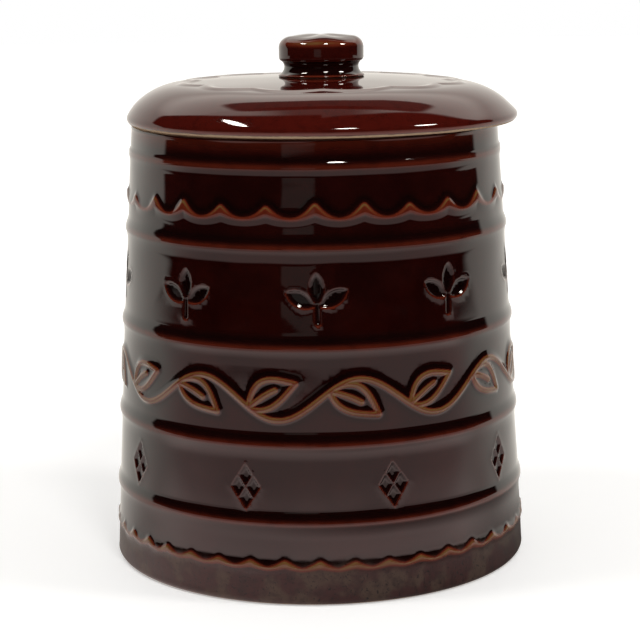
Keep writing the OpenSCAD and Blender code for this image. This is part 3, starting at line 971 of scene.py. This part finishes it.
# The gloss sees the table as a painted glow: lit near the jar and behind it, pinker and dimmer in front,
# with a painted shadow of the jar round its foot, darker on the right.
mirrored = g.add("ShaderNodeEmission")
lit = g.calc("MAXIMUM", g.ramp(away, 1.4, 0.9), g.ramp(depth, 0.1, 0.35))
spread = g.calc("MULTIPLY", lit, g.ramp(depth, -0.25, 0.1, 0.78, 1.0))
close = g.calc("MULTIPLY", g.ramp(away, 0.15, 0.42, 0.85, 0.0), g.ramp(depth, 0.0, -0.08))
shadow = g.ramp(away, 0.095, 0.2, g.ramp(split.outputs["X"], -0.1, 0.08, 0.8, 0.15), 1.0)
g.put(mirrored.inputs["Strength"], g.calc("MULTIPLY", g.calc("ADD", spread, close), shadow))
g.put(mirrored.inputs["Color"], g.blend(g.ramp(depth, -0.15, 0.1), WARM_WHITE, BRIGHT))
either = g.add("ShaderNodeMixShader")
g.put(either.inputs[0], seen_by(g, "Is Glossy Ray", "Is Transmission Ray"))
g.put(either.inputs[1], shader.outputs["BSDF"])
g.put(either.inputs[2], mirrored.outputs["Emission"])
g.put(g.add("ShaderNodeOutputMaterial").inputs["Surface"], either.outputs["Shader"])
table_mesh.materials.append(table_material)
table_top = bpy.data.objects.new("table_top", table_mesh)
bpy.context.scene.collection.objects.link(table_top)


# The surround starts so many degrees round from the front, and leans back by so many further up.
EDGE_LEFT, EDGE_LEFT_LEAN = 103.4, 23.6
EDGE_RIGHT, EDGE_RIGHT_LEAN = 114.5, 5.5
# Above this many degrees the room is laid out on a flat ceiling one metre over the jar.
CEILING_FROM = 33
DARK_ROOM = 0.010
# A dark gap in the ceiling: its middle and its half sizes, in metres.
GAP_X, GAP_HALF_W = 0.08, 0.54
GAP_Y, GAP_HALF_L = 0.45, 0.26
# Pale things in the dark room: from and to, in degrees round and then up, and how bright each is.
PALE_THINGS = [
    (-19.5, -1, -12, 2.5, 0.24),
    (89.5, 92, -6, -3, 0.45),
    (99, 101, -7, -3, 0.22),
    (24, 34, -12, -5, 0.10),
]


def room_brightness(azimuth, elevation):
    """How bright the room looks from the jar, by degrees round from the front and degrees up."""
    a, e = np.radians(azimuth), np.radians(np.maximum(elevation, 1))
    ceiling_x, ceiling_y = np.sin(a) / np.tan(e), -np.cos(a) / np.tan(e)
    right, overhead = azimuth > 0, elevation > CEILING_FROM
    edge, lean = np.where(right, EDGE_RIGHT, EDGE_LEFT), np.where(right, EDGE_RIGHT_LEAN, EDGE_LEFT_LEAN)
    surround = ease((np.abs(azimuth) - edge - lean * ease((elevation + 2) / 34) + 1.5) / 3)
    # The ceiling is bright behind an edge that slants on the right and curves on the left.
    ceiling_edge = np.where(right, 0.65 * ceiling_x - 0.10, 0.62 * ceiling_x ** 2)
    ceiling = ease((ceiling_y - ceiling_edge + 0.05) / 0.08)
    # It is brighter than the surround, but dim over the jar's front, and all but dark in the gap.
    level = 1 + 0.75 * ease((elevation - 28) / 10)
    off_middle = ease((np.abs(ceiling_x) - 0.12) / 0.25)
    level = np.where(overhead & (ceiling_y < 0.34), 0.35 + 1.2 * off_middle, level)
    gap = 1 - ((ceiling_x - GAP_X) / GAP_HALF_W) ** 4 - ((ceiling_y - GAP_Y) / GAP_HALF_L) ** 4
    level = np.where(overhead, level * (1 - 0.93 * ease(gap / 0.4)), level)
    bright = np.maximum(np.where(overhead, ceiling, surround) * level, DARK_ROOM)
    for start, stop, low_end, high_end, brightness in PALE_THINGS:
        inside = (azimuth > start) & (azimuth < stop) & (elevation > low_end) & (elevation < high_end)
        bright = np.where(inside, np.maximum(bright, brightness), bright)
    return bright


def glowing(name, strength):
    """A material that gives off light as bright as the given number or painted mask."""
    material, g = new_material(name)
    glow = g.add("ShaderNodeEmission")
    g.put(glow.inputs["Color"], BRIGHT)
    g.put(glow.inputs["Strength"], strength(g) if callable(strength) else strength)
    g.put(g.add("ShaderNodeOutputMaterial").inputs["Surface"], glow.outputs["Emission"])
    return material


def only_in_the_gloss(name, bm, material):
    """A staged object that nothing but the gloss of the pieces sees."""
    mesh = bpy.data.meshes.new(name)
    bm.to_mesh(mesh)
    bm.free()
    mesh.materials.append(material)
    obj = bpy.data.objects.new(name, mesh)
    bpy.context.scene.collection.objects.link(obj)
    obj.visible_camera = obj.visible_diffuse = obj.visible_shadow = obj.visible_transmission = False
    return obj


DOME_R = 2.6
DOME_Z = 0.12
DOME_FOOT = -16
bm = bmesh.new()
ring = [bm.verts.new((r, 0, z)) for r, z in arc((0, DOME_Z), DOME_R, DOME_FOOT, 90, 90 - DOME_FOOT)]
edges = [bm.edges.new(pair) for pair in zip(ring, ring[1:])]
bmesh.ops.spin(bm, geom=ring + edges, cent=(0, 0, 0), axis=(0, 0, 1), angle=tau, steps=360,
               use_merge=True)
dome = only_in_the_gloss("room_dome", bm, glowing("room", painted("brightness")))
points = mesh_points(dome.data)
azimuth = np.degrees(round_angle(points))
elevation = np.degrees(np.arcsin(np.clip((points[:, 2] - DOME_Z) / DOME_R, -1, 1)))
paint(dome.data, "brightness", room_brightness(azimuth, elevation))

world = bpy.data.worlds.new("white_surround")
bpy.context.scene.world = world
world.use_nodes = True
world.node_tree.nodes.clear()
g = Graph(world.node_tree)
surround = g.add("ShaderNodeBackground")
g.put(surround.inputs["Color"], (1.0, 1.0, 1.0))
shown = seen_by(g, "Is Camera Ray", "Is Glossy Ray", "Is Transmission Ray")
g.put(surround.inputs["Strength"], g.ramp(shown, 0, 1, LIGHTING_LEVEL, 1.0))
g.put(g.add("ShaderNodeOutputWorld").inputs["Surface"], surround.outputs["Background"])

# The room's lamps: the angle round from the front, the angle up, and the width and height of each. Their
# light falls from area lamps, and the gloss shows a bright disc in the place of each.
LAMP_AWAY = 1.5
LAMP_POWER = 5.5
LAMP_GLARE = 70
LAMP_SIZE = 0.3
LAMPS = [
    (-77, 56, 0.44, 0.10),
    (17, 50, 0.26, 0.19),
    (75, 43, 0.37, 0.17),
]
lamp_aim = Vector((0, 0, 0.2))
for i, (round_to, up_to, width, height) in enumerate(LAMPS):
    a, e = radians(round_to), radians(up_to)
    place = lamp_aim + LAMP_AWAY * Vector((cos(e) * sin(a), -cos(e) * cos(a), sin(e)))
    facing = (lamp_aim - place).to_track_quat("-Z", "Y").to_matrix().to_4x4()
    light = bpy.data.lights.new(f"ceiling_lamp_{i}", "AREA")
    light.shape = "DISK"
    light.size = LAMP_SIZE
    light.energy = LAMP_POWER
    lamp = bpy.data.objects.new(light.name, light)
    lamp.matrix_world = Matrix.Translation(place) @ facing
    lamp.visible_glossy = False
    bpy.context.scene.collection.objects.link(lamp)
    bm = bmesh.new()
    bmesh.ops.create_circle(bm, cap_ends=True, segments=40, radius=1)
    bmesh.ops.scale(bm, vec=(width / 2, height / 2, 1), verts=bm.verts)
    bmesh.ops.transform(bm, matrix=lamp.matrix_world, verts=bm.verts)
    only_in_the_gloss(f"lamp_glare_{i}", bm, glowing(f"lamp_glare_{i}", LAMP_GLARE))

# The photograph's camera, worked out from the outline of the jar: focal length in pixels of a 640 pixel
# frame, distance in front of the axis, height above the table, and its turns.
FRAME_PX = 640
FOCAL_PX = 1928.9
SENSOR = 36.0
CAMERA_BACK = 0.861
CAMERA_UP = 0.2695
PITCH, YAW, ROLL = radians(10.885), radians(0.082), radians(-0.798)
forward = Vector((sin(YAW) * cos(PITCH), cos(YAW) * cos(PITCH), -sin(PITCH)))
level_right = Vector((cos(YAW), -sin(YAW), 0))
level_up = level_right.cross(forward)
right = cos(ROLL) * level_right + sin(ROLL) * level_up
up = cos(ROLL) * level_up - sin(ROLL) * level_right
camera_data = bpy.data.cameras.new("camera")
camera_data.sensor_width = SENSOR
camera_data.lens = SENSOR * FOCAL_PX / FRAME_PX
camera = bpy.data.objects.new("camera", camera_data)
turn = Matrix((right, up, -forward)).transposed().to_4x4()
camera.matrix_world = Matrix.Translation((0, -CAMERA_BACK, CAMERA_UP)) @ turn
bpy.context.scene.collection.objects.link(camera)
bpy.context.scene.camera = camera
bpy.context.scene.view_settings.view_transform = "Standard"
